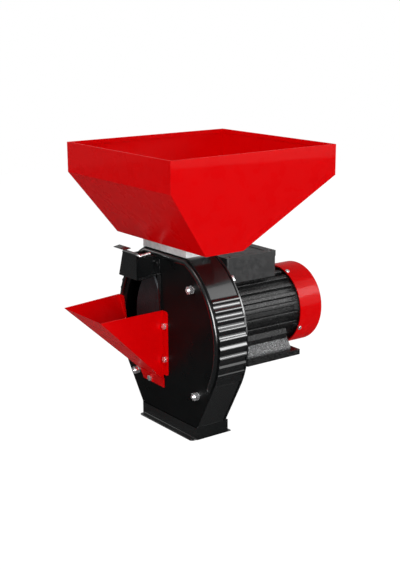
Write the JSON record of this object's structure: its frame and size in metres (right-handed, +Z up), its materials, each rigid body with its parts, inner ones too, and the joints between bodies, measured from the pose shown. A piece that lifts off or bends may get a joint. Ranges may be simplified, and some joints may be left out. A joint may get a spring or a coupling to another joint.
{
  "type": "electric grain mill",
  "caption": "Electric hammer mill: square hopper over a ribbed round drum, side feed tray with hinged flap, outlet duct below, and a finned fan-cooled motor behind.",
  "frame": {"origin": "centre of the outlet opening, on the plane that the outlet flange rests on", "axes": "+Z up, +Y from the front cover towards the motor along the shaft, +X to the right seen from the front"},
  "size_m": [0.3246, 0.441, 0.507],
  "materials": {
    "red_paint": "gloss powder coat on sheet steel",
    "black_paint": "gloss powder coat on sheet steel",
    "cast_black": "paint over rough cast metal",
    "black_plastic": "moulded",
    "galvanised": "zinc-coated sheet",
    "zinc": "bright zinc plate",
    "steel": "machined steel",
    "aluminium": "drawn can",
    "copper": "varnished winding wire",
    "rubber": "moulded"
  },
  "bodies": {
    "frame": {"hopper": "red_paint", "hopper_neck": "galvanised", "neck_screws": "zinc", "front_cover": "black_paint", "drum_shell": "black_paint", "back_plate": "black_paint", "cover_studs": "zinc", "cover_nuts": "zinc", "outlet_duct": "black_paint", "feed_tray": "red_paint", "tray_bolts": "zinc", "feed_hood": "black_paint", "hood_screws": "zinc", "flap_hinge_pin": "zinc", "sieve": "steel", "sieve_rails": "black_paint", "bearing_outer_rings": "steel", "bearing_seals": "rubber", "shaft_seal": "rubber", "motor_housing": "cast_black", "front_end_shield": "cast_black", "rear_end_shield": "cast_black", "flange_bolts": "zinc", "stator_core": "steel", "stator_windings": "copper", "fan_cover": "red_paint", "fan_cover_screws": "zinc", "terminal_box": "black_plastic", "terminal_box_lid": "black_plastic", "terminal_lid_screws": "zinc", "cable_gland": "black_plastic", "capacitors": "aluminium", "terminal_board": "black_plastic"},
    "gate": {"slide_gate": "galvanised"},
    "flap": {"feed_flap": "black_paint"},
    "rotor": {"rotor_discs": "steel", "rotor_hub": "steel", "hammer_pins": "steel", "pin_clips": "zinc", "hammer_spacers": "steel", "cutter_disc": "steel", "cutter_knives": "steel", "knife_screws": "zinc", "rotor_sleeve": "steel", "rotor_nut": "steel", "motor_shaft": "steel", "bearing_inner_rings": "steel", "rotor_core": "steel", "cooling_fan": "black_plastic"},
    "hammers_1": {"hammer_pair_1": "steel"},
    "hammers_2": {"hammer_pair_2": "steel"},
    "hammers_3": {"hammer_pair_3": "steel"},
    "hammers_4": {"hammer_pair_4": "steel"}
  },
  "joints": [
    {"name": "gate_slide", "type": "slide", "parent": "frame", "child": "gate", "axis": [0, 1, 0], "range_m": [0, 0.048]},
    {"name": "flap_hinge", "type": "hinge", "parent": "frame", "child": "flap", "pos_m": [-0.062, -0.0715, 0.3155], "axis": [-1, 0, 0], "range_deg": [0, 75]},
    {"name": "rotor_spin", "type": "hinge", "parent": "frame", "child": "rotor", "pos_m": [-0.006, 0, 0.187], "axis": [0, 1, 0], "continuous": true},
    {"name": "hammer_swing_1", "type": "hinge", "parent": "rotor", "child": "hammers_1", "pos_m": [0.04208, 0, 0.23508], "axis": [0, 1, 0], "range_deg": [-70, 70]},
    {"name": "hammer_swing_2", "type": "hinge", "parent": "rotor", "child": "hammers_2", "pos_m": [-0.05408, 0, 0.23508], "axis": [0, 1, 0], "range_deg": [-70, 70]},
    {"name": "hammer_swing_3", "type": "hinge", "parent": "rotor", "child": "hammers_3", "pos_m": [-0.05408, 0, 0.13892], "axis": [0, 1, 0], "range_deg": [-70, 70]},
    {"name": "hammer_swing_4", "type": "hinge", "parent": "rotor", "child": "hammers_4", "pos_m": [0.04208, 0, 0.13892], "axis": [0, 1, 0], "range_deg": [-70, 70]}
  ]
}
